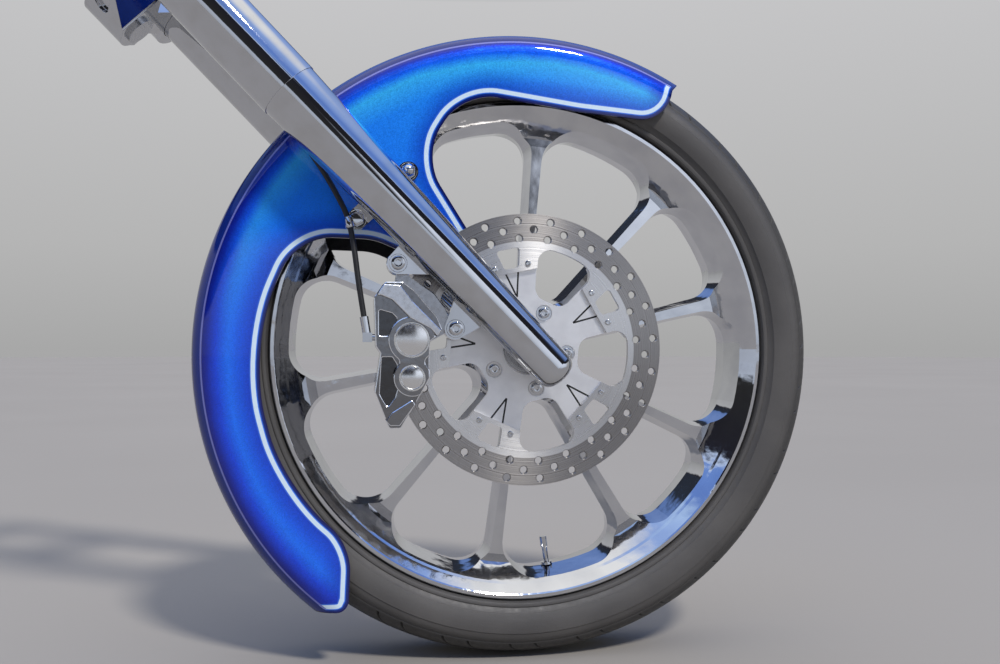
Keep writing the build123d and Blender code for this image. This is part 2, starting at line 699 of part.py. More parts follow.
def make_fender():
    crown = fender_radius
    edge = crown - fender_crown_drop
    wall = fender_half_width
    knee = crown - fender_shoulder_drop
    t = fender_thickness
    slant = t * math.sqrt(0.5)
    half = fender_crown_half
    shoulder = (edge - quarter_bend * (edge - knee), wall - quarter_bend * (wall - half))
    bottom = crown - fender_wall_height
    with BuildSketch(Plane.XZ) as section:
        with BuildLine():
            ThreePointArc((edge, -half), (crown, 0), (edge, half))
            ThreePointArc((edge, half), shoulder, (knee, wall))
            Polyline((knee, wall), (bottom, wall), (bottom, wall - t), (knee, wall - t))
            ThreePointArc((knee, wall - t), (shoulder[0] - slant, shoulder[1] - slant),
                          (edge - t, half - 1))
            ThreePointArc((edge - t, half - 1), (crown - t, 0), (edge - t, -half + 1))
            ThreePointArc((edge - t, -half + 1), (shoulder[0] - slant, -shoulder[1] + slant),
                          (knee, -wall + t))
            Polyline((knee, -wall + t), (bottom, -wall + t), (bottom, -wall), (knee, -wall))
            ThreePointArc((knee, -wall), (shoulder[0], -shoulder[1]), (edge, -half))
        make_face()
    shell = revolve(section.sketch, Axis.Z, 200)
    shell = Pos(fender_centre[0], fender_centre[1], 0) * Rot(0, 0, 45) * shell
    points = [(x, y) for x, y, _ in fender_trim]
    radii = [r for _, _, r in fender_trim[1:-1]]
    edge_line = FilletPolyline(*points, radius=radii)
    reach = 1.2 * crown
    far = [points[-1], (-reach, points[-1][1]), (-reach, reach), (points[0][0], reach), points[0]]
    plan = make_face([*edge_line.edges(), *Polyline(*far).edges()])
    return shell & Pos(0, 0, -wall - 5) * extrude(plan, 2 * wall + 10)


# Brake hose. Its foot is placed in the caliper's frame: x, y, inward from the leg's axis. The rest follows
# the right leg: up it, behind its axis, inward from its axis
hose_foot = (
    (-30.4, 34.3, 14),
    (-36.2, 70.4, 15),
    (-41.1, 110.1, 18),
)
hose_route = (
    (240, 43, 26),
    (288, 29, 34),
    (350, 19, 38),
    (422, 14, 40),
    (492, 18, 38),
    (556, 20, 38),
)


def hose_points():
    points = []
    for x, y, inward in hose_foot:
        forward, station = to_leg(x - disc_radius, y)
        points.append((forward, inward, station))
    return points + [(-back, inward, up) for up, back, inward in hose_route]


def corner_radii(points):
    radii = []
    for before, corner, after in zip(points, points[1:], points[2:]):
        first = Vector(*corner) - Vector(*before)
        second = Vector(*after) - Vector(*corner)
        turn = math.radians(first.get_angle(second))
        radii.append(0.45 * min(first.length, second.length) / math.tan(turn / 2))
    return radii


def make_hose():
    points = hose_points()
    radii = corner_radii(points)
    print("hose corner radii", [round(r) for r in radii])
    path = FilletPolyline(*points, radius=radii)
    start = Plane(origin=path @ 0, z_dir=path % 0)
    tube = sweep(start * Circle(hose_radius), path)
    print("hose length", round(path.length, 1), "volume over section times length",
          round(tube.volume / (math.pi * hose_radius ** 2 * path.length), 5))
    return tube


def caliper_rear_edge(y):
    """Wheel-frame x of the caliper's straight rear edge at height y."""
    (x0, y0), (x1, y1) = caliper_outline[1:3]
    return x0 + (x1 - x0) * (y - y0) / (y1 - y0) - disc_radius


def make_hose_elbow():
    """Ferrule, square elbow and stub that join the hose to the caliper's rear side."""
    points = hose_points()
    start = Vector(*points[0])
    ahead = (Vector(*points[1]) - start).normalized()
    foot = start - ahead * ferrule_length
    ferrule = Plane(origin=foot, z_dir=ahead).location * Cylinder(ferrule_radius, ferrule_length, align=low)
    x, y = from_leg(foot.X, foot.Z)
    place = Pos(x, y, leg_y - foot.Y)
    stub_length = caliper_rear_edge(y + stub_radius) - close_clearance - x
    stub = Rot(0, 90, 0) * Cylinder(stub_radius, stub_length, align=low)
    fitting = place * (Box(elbow_size, elbow_size, elbow_size) + stub)
    return leg_frame(-leg_y) * ferrule + wheel_frame * fitting


def make_hose_union():
    """Block under the lower clamp that the hose ends in."""
    back, inward, up = hose_points()[-1]
    height = lower_clamp_station - up - close_clearance
    block = Box(union_width, union_width, height, align=(Align.CENTER, Align.MIN, Align.MIN))
    return Pos(back, sleeve_radius + union_gap, up + close_clearance) * block


os.makedirs("parts", exist_ok=True)


def save(name, shape):
    export_step(shape if isinstance(shape, (Part, Compound, Solid)) else Compound(children=shape),
                f"parts/{name}.step")


def save_all(name, solids):
    export_step(Compound(children=list(solids)), f"parts/{name}.step")


save("tyre", wheel_frame * make_tyre())
save("wheel", wheel_frame * make_wheel())
save("valve_stem", wheel_frame * make_valve())
save("bearing_right", wheel_frame * make_bearing(1))
save("bearing_left", wheel_frame * make_bearing(-1))
save("hub_cap_left", wheel_frame * make_hub_cap())
save("brake_disc", wheel_frame * make_disc())
save("disc_carrier", wheel_frame * make_carrier())
save("axle", wheel_frame * make_axle())
save("spacer_right", wheel_frame * make_spacer(1))
save("spacer_left", wheel_frame * make_spacer(-1))

save("fork_lower_right", leg_frame(-leg_y) * make_leg_body(1) + wheel_frame * make_leg_lugs())
save("fork_lower_left", leg_frame(leg_y) * make_leg_body(-1))
sleeve = Cylinder(sleeve_radius, leg_top - leg_seam, align=low)
for side, y in (("right", -leg_y), ("left", leg_y)):
    save(f"fork_sleeve_{side}", leg_frame(y) * Pos(0, 0, leg_seam) * sleeve)
    save(f"fork_cap_{side}", leg_frame(y) * Pos(0, 0, leg_top) * make_fork_cap())

save("lower_clamp", leg_frame(0) * make_lower_clamp())
save("upper_clamp", leg_frame(0) * make_upper_clamp())
save("steering_stem", leg_frame(0) * make_stem())
save("stem_nut", leg_frame(0) * make_stem_nut())
save("fender", wheel_frame * make_fender())
save("fender_bracket_left", leg_frame(0) * make_fender_bracket())
save("fender_bracket_right", leg_frame(0) * mirror(make_fender_bracket(), Plane.XZ))
save("caliper_outer", wheel_frame * make_caliper_outer())
save("caliper_inner", wheel_frame * make_caliper_inner())
save_all("piston_caps", [wheel_frame * cap_solid for cap_solid in make_piston_caps()])
save_all("brake_pads", [wheel_frame * pad for pad in make_pads()])
save("brake_hose", leg_frame(-leg_y) * make_hose())
save("hose_elbow", make_hose_elbow())
save("hose_union", leg_frame(-leg_y) * make_hose_union())
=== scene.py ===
import bmesh
import bpy
import json
import math
from mathutils import Matrix, Vector
from mathutils.bvhtree import BVHTree

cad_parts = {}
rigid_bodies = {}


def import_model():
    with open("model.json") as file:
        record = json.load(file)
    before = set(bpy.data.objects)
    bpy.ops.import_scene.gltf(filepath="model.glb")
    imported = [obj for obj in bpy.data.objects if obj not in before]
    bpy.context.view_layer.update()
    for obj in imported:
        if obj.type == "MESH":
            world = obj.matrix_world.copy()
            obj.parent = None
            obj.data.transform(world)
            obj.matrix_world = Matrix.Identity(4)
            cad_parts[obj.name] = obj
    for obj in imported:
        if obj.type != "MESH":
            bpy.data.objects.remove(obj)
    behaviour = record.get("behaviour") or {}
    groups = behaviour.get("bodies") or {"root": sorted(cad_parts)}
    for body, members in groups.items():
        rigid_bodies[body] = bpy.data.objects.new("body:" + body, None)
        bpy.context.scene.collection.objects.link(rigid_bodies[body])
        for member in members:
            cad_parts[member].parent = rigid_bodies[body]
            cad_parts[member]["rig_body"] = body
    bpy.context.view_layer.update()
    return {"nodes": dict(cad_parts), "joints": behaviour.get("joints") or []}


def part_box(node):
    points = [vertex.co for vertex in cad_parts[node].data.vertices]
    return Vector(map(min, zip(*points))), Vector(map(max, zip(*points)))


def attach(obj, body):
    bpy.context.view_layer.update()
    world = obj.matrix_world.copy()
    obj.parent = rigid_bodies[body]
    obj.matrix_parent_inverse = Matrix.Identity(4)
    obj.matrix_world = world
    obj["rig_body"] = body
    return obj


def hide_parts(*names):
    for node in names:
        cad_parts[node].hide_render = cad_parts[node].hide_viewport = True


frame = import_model()

# Camera
# It stands on the right of the motorcycle, a little behind the wheel and level with its axle, and
# looks slightly forward. Its distance and lens were fitted to the disc, the rim and the fork's legs.
axle = Vector(frame["joints"][0]["pos_m"])
camera_offset = Vector((-0.189, -1.111, 0.001))
camera_yaw = math.radians(-8.64)
camera_pitch = math.radians(0.99)
camera_data = bpy.data.cameras.new("camera")
camera_data.sensor_width = 36.0
camera_data.lens = 34.2
camera_data.clip_start = 0.02
camera = bpy.data.objects.new("camera", camera_data)
camera.location = axle + camera_offset
camera.rotation_euler = (math.radians(90) + camera_pitch, 0, camera_yaw)
bpy.context.scene.collection.objects.link(camera)
bpy.context.scene.camera = camera
bpy.context.scene.view_settings.view_transform = "Standard"


# Floor and backdrop
# A wide pale floor meets a pale backdrop. Above a dark gap come a line of light, blue and a white ceiling,
# and left of the camera the dark reaches down to a low pale band. A soft sun stands at the upper right.
def node(tree, kind, inputs=None, **settings):
    """Adds a shader node. Each input is a plain value or another node's output."""
    made = tree.nodes.new("ShaderNode" + kind)
    for key, value in settings.items():
        setattr(made, key, value)
    for socket, value in (inputs or {}).items():
        if isinstance(value, bpy.types.NodeSocket):
            tree.links.new(value, made.inputs[socket])
        else:
            made.inputs[socket].default_value = value
    return made


def spread(tree, value, low, high, to_low=0.0, to_high=1.0, kind="LINEAR"):
    """Value stretched from the range low to high onto the range to_low to to_high, and held there."""
    inputs = {"Value": value, "From Min": low, "From Max": high, "To Min": to_low, "To Max": to_high}
    return node(tree, "MapRange", inputs, interpolation_type=kind).outputs[0]


def grain(tree, place, scale, detail=3.0):
    """Fine uneven pattern, from 0 to 1 and mostly between 0.3 and 0.7."""
    return node(tree, "TexNoise", {"Vector": place, "Scale": scale, "Detail": detail}).outputs[0]


def blend_colours(tree, share, first, second):
    """Mix of two colours, each a plain colour or an output."""
    mix = node(tree, "Mix", data_type="RGBA")
    for socket, value in ((mix.inputs[0], share), (mix.inputs[6], first), (mix.inputs[7], second)):
        if isinstance(value, bpy.types.NodeSocket):
            tree.links.new(value, socket)
        elif isinstance(value, tuple):
            socket.default_value = (*value, 1)
        else:
            socket.default_value = value
    return mix.outputs[2]


def new_finish(name, colour, metallic, roughness):
    """A material, its node tree, its shader and the place on the piece that patterns follow."""
    material = bpy.data.materials.new(name)
    material.use_nodes = True
    tree = material.node_tree
    shader = tree.nodes["Principled BSDF"]
    shader.inputs["Base Color"].default_value = (*colour, 1)
    shader.inputs["Metallic"].default_value = metallic
    shader.inputs["Roughness"].default_value = roughness
    return material, tree, shader, node(tree, "TexCoord").outputs["Object"]


floor_gap = 0.0005           # between the tyre's lowest point and the floor
floor_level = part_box("tyre")[0].z - floor_gap
floor_reach = 40.0
floor_colour = (0.376, 0.352, 0.321)
floor_shades = ((0.368, 0.345, 0.314), (0.384, 0.360, 0.328))
floor_mesh = bmesh.new()
bmesh.ops.create_circle(floor_mesh, cap_ends=True, segments=180, radius=floor_reach)
bmesh.ops.translate(floor_mesh, verts=floor_mesh.verts, vec=(0, 0, floor_level))
floor_data = bpy.data.meshes.new("floor")
floor_mesh.to_mesh(floor_data)
floor_mesh.free()
floor = bpy.data.objects.new("floor", floor_data)
bpy.context.scene.collection.objects.link(floor)
floor_finish, tree, shader, place = new_finish("floor_paint", floor_colour, 0, 0.9)
shader.inputs["Specular IOR Level"].default_value = 0.0
floor_tint = spread(tree, grain(tree, place, 0.6), 0.3, 0.7)
tree.links.new(blend_colours(tree, floor_tint, *floor_shades), shader.inputs["Base Color"])
floor_data.materials.append(floor_finish)

world = bpy.data.worlds.new("studio")
world.use_nodes = True
bpy.context.scene.world = world
tree = world.node_tree
direction = node(tree, "SeparateXYZ", {0: node(tree, "TexCoord").outputs["Generated"]})
sideways, backward, upward = direction.outputs


def tone_bands(tree, value, bands):
    """Colour ramp of (place, colour) bands."""
    made = node(tree, "ValToRGB", {0: value})
    while len(made.color_ramp.elements) < len(bands):
        made.color_ramp.elements.new(0.5)
    for element, (place, colour) in zip(made.color_ramp.elements, bands):
        element.position = place
        element.color = (*colour, 1)
    return made.outputs[0]


behind_object = tone_bands(tree, upward, (         # upward part of the direction, colour
    (0.000, (0.39, 0.39, 0.39)),
    (0.100, (0.46, 0.46, 0.46)),
    (0.345, (0.56, 0.56, 0.57)),
    (0.365, (0.03, 0.03, 0.04)),
    (0.480, (0.03, 0.04, 0.06)),
    (0.500, (0.16, 0.27, 0.60)),
    (0.790, (0.40, 0.56, 1.00)),
    (0.870, (1.10, 1.10, 1.10)),
    (1.000, (1.15, 1.13, 1.10)),
))
behind_camera = tone_bands(tree, upward, (
    (0.000, (0.55, 0.60, 0.70)),
    (0.120, (0.80, 0.86, 0.98)),
    (0.335, (0.95, 1.02, 1.20)),
    (0.350, (0.02, 0.02, 0.02)),
    (0.540, (0.02, 0.02, 0.03)),
    (0.550, (0.60, 0.76, 1.15)),
    (0.570, (0.20, 0.36, 0.85)),
    (0.660, (0.16, 0.30, 0.80)),
    (0.800, (0.40, 0.58, 1.05)),
    (0.870, (1.10, 1.10, 1.10)),
    (1.000, (1.15, 1.13, 1.10)),
))
left_of_camera = tone_bands(tree, upward, (
    (0.000, (0.50, 0.54, 0.62)),
    (0.100, (0.60, 0.66, 0.78)),
    (0.125, (0.03, 0.03, 0.03)),
    (0.480, (0.02, 0.02, 0.03)),
    (0.500, (0.75, 0.90, 1.20)),
    (0.525, (0.20, 0.36, 0.85)),
    (0.640, (0.18, 0.32, 0.80)),
    (0.700, (0.55, 0.76, 1.15)),
    (0.800, (0.40, 0.58, 1.05)),
    (0.870, (1.10, 1.10, 1.10)),
    (1.000, (1.15, 1.13, 1.10)),
))
left_ends = (0.12, 0.28)     # sideways part of the direction
backdrop_starts = (-0.45, 0.0)
towards_right = spread(tree, sideways, *left_ends, kind="SMOOTHSTEP")
in_front = blend_colours(tree, towards_right, left_of_camera, behind_camera)
towards_backdrop = spread(tree, backward, *backdrop_starts, kind="SMOOTHSTEP")
tree.links.new(blend_colours(tree, towards_backdrop, in_front, behind_object),
               tree.nodes["Background"].inputs["Color"])

sun_from = Vector((0.25, -0.62, 0.74))
sun_data = bpy.data.lights.new("sun", "SUN")
sun_data.energy = 2.1
sun_data.angle = math.radians(7)
sun_data.color = (1.0, 0.96, 0.90)
sun = bpy.data.objects.new("sun", sun_data)
sun.rotation_euler = sun_from.to_track_quat("Z", "Y").to_euler()
bpy.context.scene.collection.objects.link(sun)


# Tyre
# Low black rubber tyre on the rim, moulded in one piece: a bead, a stepped side wall with a fine groove at
# its shoulder, and a rounded tread with slanted grooves on both sides.
wheel_place = Matrix.Translation(axle) @ Matrix.Rotation(math.radians(90), 4, "X")


def calc(tree, operation, first, second=0.0):
    return node(tree, "Math", {0: first, 1: second}, operation=operation).outputs[0]


def vary_gloss(tree, shader, pattern, low, high, least, most):
    """Roughness that follows a pattern, from the least at its low end to the most at its high end."""
    tree.links.new(spread(tree, pattern, low, high, least, most), shader.inputs["Roughness"])


def raise_surface(tree, shader, height, depth, strength=1.0):
    bump = node(tree, "Bump", {"Height": height, "Distance": depth, "Strength": strength})
    tree.links.new(bump.outputs[0], shader.inputs["Normal"])


def turned(profile, steps, loop=False):
    """A shape of (radius, height) points spun once about the Z axis."""
    shape = bmesh.new()
    points = [shape.verts.new((radius, 0, height)) for radius, height in profile]
    edges = [shape.edges.new(pair) for pair in zip(points, points[1:])]
    if loop:
        edges.append(shape.edges.new((points[-1], points[0])))
    bmesh.ops.spin(shape, geom=points + edges, axis=(0, 0, 1), cent=(0, 0, 0), angle=math.tau,
                   steps=steps, use_merge=True, use_duplicate=False)
    bmesh.ops.remove_doubles(shape, verts=shape.verts, dist=1e-6)
    bmesh.ops.recalc_face_normals(shape, faces=shape.faces)
    return shape


def new_piece(shape, name, place, finishes, body, crease=32):
    """Puts a finished shape in its place as an object that rides on a body. Edges sharper than the
    crease stay crisp."""
    bmesh.ops.transform(shape, matrix=place, verts=shape.verts)
    for face in shape.faces:
        face.smooth = True
    for edge in shape.edges:
        if edge.is_manifold and edge.calc_face_angle() > math.radians(crease):
            edge.smooth = False
    mesh = bpy.data.meshes.new(name)
    shape.to_mesh(mesh)
    shape.free()
    for finish in finishes:
        mesh.materials.append(finish)
    piece = bpy.data.objects.new(name, mesh)
    bpy.context.scene.collection.objects.link(piece)
    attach(piece, body)
    return piece


def from_axle(tree, place):
    """Distance from the axle's line."""
    centred = node(tree, "Mapping", {"Vector": place, "Location": -axle}).outputs[0]
    split = node(tree, "SeparateXYZ", {0: centred})
    flat = node(tree, "CombineXYZ", {0: split.outputs[0], 2: split.outputs[2]}).outputs[0]
    return node(tree, "VectorMath", {0: flat}, operation="LENGTH").outputs["Value"]


tyre_side = (                # radius, height, both in metres, from the bead's inside to the tread's middle
    (0.2698, 0.0270),
    (0.2698, 0.0405),
    (0.2836, 0.0408),
    (0.2842, 0.0470),
    (0.2850, 0.0500),
    (0.2862, 0.0522),
    (0.2884, 0.0531),
    (0.2900, 0.0529),
    (0.2908, 0.0520),
    (0.2922, 0.0527),
    (0.2960, 0.0555),
    (0.2968, 0.0567),
    (0.3020, 0.0585),
    (0.3080, 0.0596),
    (0.3140, 0.0598),
    (0.3180, 0.0594),
    (0.3188, 0.0584),
    (0.3230, 0.0573),
    (0.3280, 0.0548),
    (0.3290, 0.0533),
    (0.3302, 0.0533),
    (0.3312, 0.0528),
    (0.3350, 0.0498),
    (0.3380, 0.0466),
    (0.3409, 0.0418),
    (0.3440, 0.0350),
    (0.3464, 0.0275),
    (0.3482, 0.0195),
    (0.3492, 0.0110),
    (0.3494, 0.0072),
    (0.3480, 0.0062),
    (0.3480, 0.0046),
    (0.3497, 0.0036),
)
tyre_inside = ((0.3380, 0.0), (0.3300, -0.0300), (0.3130, -0.0500), (0.2850, -0.0330))
tread_pitches = 27
columns_per_pitch = 24
tread_slant = math.radians(9)
tread_half_width = 0.052
groove_foot = 0.332          # radius where a slanted groove starts on the shoulder
slant_start = 0.328          # radius outside which the tread slants
long_groove_head = 0.009     # distance of a groove's end from the tread's middle
short_groove_head = 0.028
short_groove_column = 9      # columns from a long groove to the short one
groove_wall = 0.0007
groove_depth = 0.0035
ring_waves = 5200.0          # radians of the mould's fine rings in a metre of radius

outer_line = [*tyre_side, *[(r, -h) for r, h in reversed(tyre_side)]]
inner_line = [*tyre_inside, *[(r, -h) for r, h in reversed(tyre_inside[1:])]]
columns = tread_pitches * columns_per_pitch
tyre = turned([*outer_line, *reversed([(r, -h) for r, h in reversed(inner_line)])], columns, loop=True)
grooved = []
for face in tyre.faces:
    middle = face.calc_center_median()
    column = int(math.degrees(math.atan2(middle.y, middle.x)) % 360 / 360 * columns)
    column += columns_per_pitch // 2 if middle.z < 0 else 0
    on_tread = middle.xy.length > groove_foot and abs(middle.z) > long_groove_head
    long_groove = column % columns_per_pitch == 0
    short_groove = column % columns_per_pitch == short_groove_column and abs(middle.z) > short_groove_head
    if on_tread and (long_groove or short_groove) and face.normal.dot(middle) > 0:
        grooved.append(face)
bmesh.ops.inset_region(tyre, faces=grooved, thickness=groove_wall, depth=-groove_depth, use_even_offset=True)
for vert in tyre.verts:
    towards_middle = max(0.0, tread_half_width - abs(vert.co.z)) / tread_half_width
    if vert.co.xy.length > slant_start:
        vert.co.rotate(Matrix.Rotation(tread_slant * towards_middle, 3, "Z"))
rubber, tree, shader, place = new_finish("tyre_rubber", (0.075, 0.071, 0.068), 0, 0.55)
side_colour = (0.078, 0.074, 0.071)
dust_colour = (0.135, 0.127, 0.118)
tread_colour = (0.030, 0.029, 0.028)
radius = from_axle(tree, place)
speckle = grain(tree, place, 900, 2)
dust_share = calc(tree, "MULTIPLY", spread(tree, grain(tree, place, 14, 4), 0.40, 0.75), 0.45)
tread_share = calc(tree, "MULTIPLY", spread(tree, radius, 0.322, 0.333), 0.8)
colour = blend_colours(tree, dust_share, side_colour, dust_colour)
colour = blend_colours(tree, tread_share, colour, tread_colour)
tree.links.new(colour, shader.inputs["Base Color"])
vary_gloss(tree, shader, grain(tree, place, 160), 0.3, 0.7, 0.42, 0.62)
rings = calc(tree, "SINE", calc(tree, "MULTIPLY", radius, ring_waves))
raise_surface(tree, shader, calc(tree, "ADD", speckle, calc(tree, "MULTIPLY", rings, 0.10)), 0.0004, 0.5)
tyre = new_piece(tyre, "tyre_moulded", wheel_place, [rubber], "wheel")
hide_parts("tyre")


# Wheel
# Ten-spoke wheel cut from one block of aluminium and polished to a mirror. The cutter's marks leave
# slight waves in it, and a faint haze lies on it in places.
def dress(finish, *nodes):
    """Gives CAD nodes their finish."""
    for name in nodes:
        for slot in frame["nodes"][name].material_slots:
            slot.material = finish


billet, tree, shader, place = new_finish("polished_billet", (0.86, 0.87, 0.89), 1, 0.05)
waves = grain(tree, place, 28, 2)
haze = grain(tree, place, 220, 4)
vary_gloss(tree, shader, haze, 0.35, 0.75, 0.025, 0.11)
tree.links.new(blend_colours(tree, spread(tree, waves, 0.4, 0.7), (0.64, 0.65, 0.67), (0.56, 0.57, 0.60)),
               shader.inputs["Base Color"])
raise_surface(tree, shader, calc(tree, "ADD", waves, calc(tree, "MULTIPLY", haze, 0.04)), 0.0016, 0.4)
dress(billet, "wheel")


# Valve, hub bearings and hub cap
# A plated valve with its cap on, bearings in ground steel rings pressed into the hub, and a plated cover
# over the hub's left end.
def ground_rings(tree, radius, scale, detail, roughness=0.5):
    """Uneven pattern that changes only with the radius."""
    return node(tree, "TexNoise", {"W": radius, "Scale": scale, "Detail": detail, "Roughness": roughness},
                noise_dimensions="1D").outputs[0]


chrome, tree, shader, place = new_finish("chrome_plate", (0.88, 0.89, 0.91), 1, 0.03)
smears = grain(tree, place, 35, 5)
vary_gloss(tree, shader, smears, 0.35, 0.80, 0.015, 0.075)
tree.links.new(blend_colours(tree, spread(tree, smears, 0.45, 0.85), (0.60, 0.61, 0.63), (0.53, 0.53, 0.53)),
               shader.inputs["Base Color"])
raise_surface(tree, shader, grain(tree, place, 60, 2), 0.0002, 0.25)
ground_steel, tree, shader, place = new_finish("ground_steel", (0.55, 0.56, 0.58), 1, 0.25)
steel_rings = ground_rings(tree, from_axle(tree, place), 2600.0, 3.0)
vary_gloss(tree, shader, steel_rings, 0.3, 0.7, 0.16, 0.36)
raise_surface(tree, shader, steel_rings, 0.0001, 0.4)
dress(chrome, "valve_stem", "hub_cap_left")
dress(ground_steel, "bearing_right", "bearing_left")

# Brake disc
# Stainless steel ring with three rows of drilled holes. Its faces are ground in circles, so light lies on
# it in rays from the middle. The pads have darkened it, apart from a bright ring at its inner edge.
pad_band_start = (0.1192, 0.1200)          # radius where the bright ring ends, where the band is full
bright_steel = (0.74, 0.735, 0.73)
dark_band = (0.30, 0.285, 0.275)
pale_band = (0.44, 0.425, 0.415)
disc_steel, tree, shader, place = new_finish("ground_disc_steel", (0.56, 0.56, 0.55), 1, 0.3)
radius = from_axle(tree, place)
coarse_rings = ground_rings(tree, radius, 650.0, 5.0, roughness=0.8)
fine_rings = ground_rings(tree, radius, 3600.0, 2.0)
band_tone = blend_colours(tree, spread(tree, coarse_rings, 0.35, 0.68), dark_band, pale_band)
on_pad_band = spread(tree, radius, *pad_band_start)
tree.links.new(blend_colours(tree, on_pad_band, bright_steel, band_tone), shader.inputs["Base Color"])
vary_gloss(tree, shader, coarse_rings, 0.3, 0.7, 0.24, 0.38)
shader.inputs["Anisotropic"].default_value = 0.85
shader.inputs["Anisotropic Rotation"].default_value = 0.25
tree.links.new(node(tree, "Tangent", direction_type="RADIAL", axis="Y").outputs[0], shader.inputs["Tangent"])
raise_surface(tree, shader, fine_rings, 0.00006, 0.5)
dress(disc_steel, "brake_disc")

# Disc carrier
# Aluminium plate between the hub and the disc, milled and rubbed to a satin face. The floors of the five V
# grooves cut into it are painted near black as painted shade.
groove_floor = (-0.07290, -0.07270)        # depths along the axle between which a groove's floor lies
plate_pale = (0.92, 0.92, 0.93)
plate_dull = (0.82, 0.82, 0.83)
groove_painted_shade = (0.05, 0.05, 0.05)
satin_plate, tree, shader, place = new_finish("satin_aluminium", (0.85, 0.85, 0.86), 1, 0.42)
rubbing = node(tree, "Mapping", {"Vector": place, "Scale": (1.0, 1.0, 6.0)}).outputs[0]
vary_gloss(tree, shader, grain(tree, rubbing, 260, 4), 0.3, 0.7, 0.36, 0.48)
plate_tone = blend_colours(tree, spread(tree, grain(tree, place, 45, 4), 0.35, 0.7), plate_pale, plate_dull)
depth = node(tree, "SeparateXYZ", {0: place}).outputs[1]
in_groove = calc(tree, "MULTIPLY", calc(tree, "GREATER_THAN", depth, groove_floor[0]),
                 calc(tree, "LESS_THAN", depth, groove_floor[1]))
# The grooves' floors get a near black colour, painted shade in the recesses.
tree.links.new(blend_colours(tree, in_groove, plate_tone, groove_painted_shade), shader.inputs["Base Color"])
dress(satin_plate, "disc_carrier")


# Carrier bolts and screws
# Five plated socket-head bolts hold the carrier to the hub, and ten small ones hold the disc's
# tabs to the carrier. Each head has a rounded edge and a six-sided socket.
def only_verts(geometry):
    return [item for item in geometry if isinstance(item, bmesh.types.BMVert)]


def cap_screw(radius, height, socket):
    """Socket head standing on the XY plane."""
    edge = 0.16 * radius
    shape = turned([(radius, 0), (radius, height - edge), (radius - 0.3 * edge, height - 0.3 * edge),
                    (radius - edge, height), (1.25 * socket, height)], 24)
    rim = [e for e in shape.edges if e.is_boundary and e.verts[0].co.z > height / 2]
    corners = bmesh.ops.create_circle(shape, cap_ends=False, radius=socket, segments=6,
                                      matrix=Matrix.Translation((0, 0, height - 0.1 * edge)))["verts"]
    mouth = list({e for v in corners for e in v.link_edges})
    bmesh.ops.bridge_loops(shape, edges=rim + mouth)
    deep = bmesh.ops.extrude_edge_only(shape, edges=mouth)["geom"]
    bmesh.ops.translate(shape, verts=only_verts(deep), vec=(0, 0, -0.7 * height))
    bmesh.ops.edgeloop_fill(shape, edges=[item for item in deep if isinstance(item, bmesh.types.BMEdge)])
    bmesh.ops.recalc_face_normals(shape, faces=shape.faces)
    return shape


def repeated(shape, places):
    """The shape once at each place."""
    seed = shape.verts[:] + shape.edges[:] + shape.faces[:]
    first = shape.verts[:]
    for place in places[1:]:
        copy = bmesh.ops.duplicate(shape, geom=seed)["geom"]
        bmesh.ops.transform(shape, matrix=place, verts=only_verts(copy))
    bmesh.ops.transform(shape, matrix=places[0], verts=first)
    return shape


def washer(outside, inside, thickness):
    edge = 0.25 * thickness
    profile = [(inside, thickness), (outside - edge, thickness), (outside, thickness - edge), (outside, 0)]
    return turned(profile, 32)


def joined(*shapes):
    """One shape that holds several."""
    whole = bmesh.new()
    for shape in shapes:
        part = bpy.data.meshes.new("part")
        shape.to_mesh(part)
        shape.free()
        whole.from_mesh(part)
        bpy.data.meshes.remove(part)
    return whole


def raised_by(shape, height):
    bmesh.ops.translate(shape, verts=shape.verts, vec=(0, 0, height))
    return shape


def on_wheel(radius, angle, height):
    """Place at a distance from the axle and an angle round it, in degrees."""
    turn = math.radians(angle)
    return Matrix.Translation((radius * math.cos(turn), radius * math.sin(turn), height))


def bolt_on_washer(washer_sizes, head_sizes):
    """Socket head on its washer. The sizes are those that washer and cap_screw take."""
    return joined(washer(*washer_sizes), raised_by(cap_screw(*head_sizes), washer_sizes[2]))


arms = [30 + 72 * arm for arm in range(5)]
hub_face = 0.069
carrier_top = hub_face + 0.005
disc_top = carrier_top + 0.005
spot_face = 0.0015           # depth of the seat milled under a carrier bolt
bolt_circle = 0.044
screw_circle = 0.095
screw_spread = 11.5          # degrees either side of an arm
bolt_places = [on_wheel(bolt_circle, arm + 36, carrier_top - spot_face) for arm in arms]
carrier_bolts = repeated(bolt_on_washer((0.0086, 0.0040, 0.0008), (0.0058, 0.0058, 0.0026)), bolt_places)
new_piece(carrier_bolts, "carrier_bolts", wheel_place, [chrome], "wheel")
screw_turns = [arm + side * screw_spread for arm in arms for side in (-1, 1)]
screw_places = [on_wheel(screw_circle, turn, disc_top) for turn in screw_turns]
tab_screws = repeated(cap_screw(radius=0.0033, height=0.0016, socket=0.0014), screw_places)
new_piece(tab_screws, "tab_screws", wheel_place, [chrome], "wheel")

# Axle and spacers
# A ground steel axle through the hub's bearings, with a plated tube between the hub and each leg.
dress(ground_steel, "axle")
dress(chrome, "spacer_right", "spacer_left")

# Fork legs
# Steel lower legs and the sleeves over them, chromed and polished, with hexagonal caps on top.
dress(chrome, "fork_lower_right", "fork_lower_left", "fork_sleeve_right", "fork_sleeve_left",
      "fork_cap_right", "fork_cap_left")

# Clamps and stem
# Machined aluminium clamps, chromed, with three socket bolts a side that pinch them round the legs. The
# steel stem is ground where the neck's bearings go.
dress(ground_steel, "steering_stem")
dress(chrome, "stem_nut")


def merged_copy(name):
    """A CAD node's mesh as one closed shape, with its flat faces whole."""
    shape = bmesh.new()
    shape.from_mesh(frame["nodes"][name].data)
    bmesh.ops.remove_doubles(shape, verts=shape.verts, dist=2e-6)
    bmesh.ops.dissolve_limit(shape, angle_limit=math.radians(0.8), verts=shape.verts, edges=shape.edges)
    return shape


